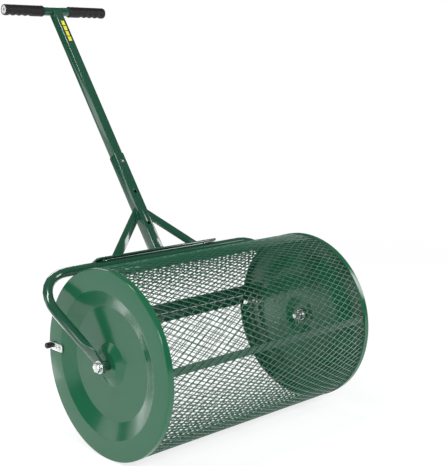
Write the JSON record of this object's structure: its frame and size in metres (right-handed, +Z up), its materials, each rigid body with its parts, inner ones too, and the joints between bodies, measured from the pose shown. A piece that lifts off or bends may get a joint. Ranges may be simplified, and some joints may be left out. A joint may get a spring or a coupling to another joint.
{
  "type": "lawn roller",
  "caption": "Walk-behind lawn roller: an openwork mesh drum with a latched fill door turns in a tube yoke under a sliding T-bar handle.",
  "frame": {"origin": "bottom centre of the whole roller's box, on the ground", "axes": "+Z up; the drum's axle runs along X and its front faces -Y; the handle leans back over +Y"},
  "size_m": [0.7084, 0.8029, 0.957],
  "materials": {
    "green_paint": "gloss green powder coat",
    "dark_green_paint": "satin green powder coat",
    "zinc_plate": "bright zinc plate",
    "grip_rubber": "matt black moulded grip",
    "black_plastic": "matt black",
    "grey_plastic": "light grey moulded"
  },
  "bodies": {
    "handle_frame": {"yoke_tube": "dark_green_paint", "bridge_plate": "dark_green_paint", "lower_post": "dark_green_paint", "bridge_bolt_left": "zinc_plate", "bridge_bolt_right": "zinc_plate", "bridge_nut_left": "zinc_plate", "bridge_nut_right": "zinc_plate", "brace_left": "dark_green_paint", "brace_right": "dark_green_paint", "axle_bolt_left": "zinc_plate", "axle_bolt_right": "zinc_plate", "axle_washer_outer_left": "zinc_plate", "axle_washer_outer_right": "zinc_plate", "axle_washer_inner_left": "zinc_plate", "axle_washer_inner_right": "zinc_plate", "axle_spacer_left": "dark_green_paint", "axle_spacer_right": "dark_green_paint", "axle_nut_left": "zinc_plate", "axle_nut_right": "zinc_plate", "axle_clip_left": "zinc_plate", "axle_clip_right": "zinc_plate"},
    "drum": {"drum_mesh": "dark_green_paint", "front_bar": "dark_green_paint", "top_bar": "dark_green_paint", "landing_bar": "dark_green_paint", "hinge_bar": "dark_green_paint", "end_disc_left": "green_paint", "end_disc_right": "green_paint", "hub_bush_left": "black_plastic", "hub_bush_right": "black_plastic", "latch_left": "zinc_plate", "latch_right": "zinc_plate", "latch_rivet_left_1": "zinc_plate", "latch_rivet_left_2": "zinc_plate", "latch_rivet_right_1": "zinc_plate", "latch_rivet_right_2": "zinc_plate", "drum_hinge_leaf_1": "dark_green_paint", "drum_hinge_leaf_2": "dark_green_paint", "drum_hinge_leaf_3": "dark_green_paint", "hinge_pin_1": "zinc_plate", "hinge_pin_2": "zinc_plate", "hinge_pin_3": "zinc_plate"},
    "door": {"door_mesh": "dark_green_paint", "door_hinge_bar": "dark_green_paint", "door_free_bar": "dark_green_paint", "door_side_bar_left": "dark_green_paint", "door_side_bar_right": "dark_green_paint", "door_pin_cap_left": "black_plastic", "door_pin_cap_right": "black_plastic", "door_hinge_leaf_1": "dark_green_paint", "door_hinge_leaf_2": "dark_green_paint", "door_hinge_leaf_3": "dark_green_paint"},
    "upper_handle": {"upper_post": "dark_green_paint", "t_bar": "dark_green_paint", "grip_left": "grip_rubber", "grip_right": "grip_rubber", "bar_plug_left": "grey_plastic", "bar_plug_right": "grey_plastic", "snap_spring": "zinc_plate"},
    "button": {"snap_button": "zinc_plate"}
  },
  "joints": [
    {"name": "drum_spin", "type": "hinge", "parent": "handle_frame", "child": "drum", "pos_m": [0, -0.20019, 0.2013], "axis": [1, 0, 0], "continuous": true},
    {"name": "door_hinge", "type": "hinge", "parent": "drum", "child": "door", "pos_m": [0, -0.27447, 0.01744], "axis": [-1, 0, 0], "range_deg": [0, 150], "deforming": ["latch_left", "latch_right"]},
    {"name": "handle_slide", "type": "slide", "parent": "handle_frame", "child": "upper_handle", "axis": [0, 0.5664, 0.8241], "range_m": [-0.171, 0], "deforming": ["snap_button"]},
    {"name": "button_press", "type": "slide", "parent": "upper_handle", "child": "button", "axis": [0, 0.8241, -0.5664], "range_m": [0, 0.006], "stiffness_N_per_m": 600, "springref_m": -0.003, "deforming": ["snap_spring"]}
  ]
}
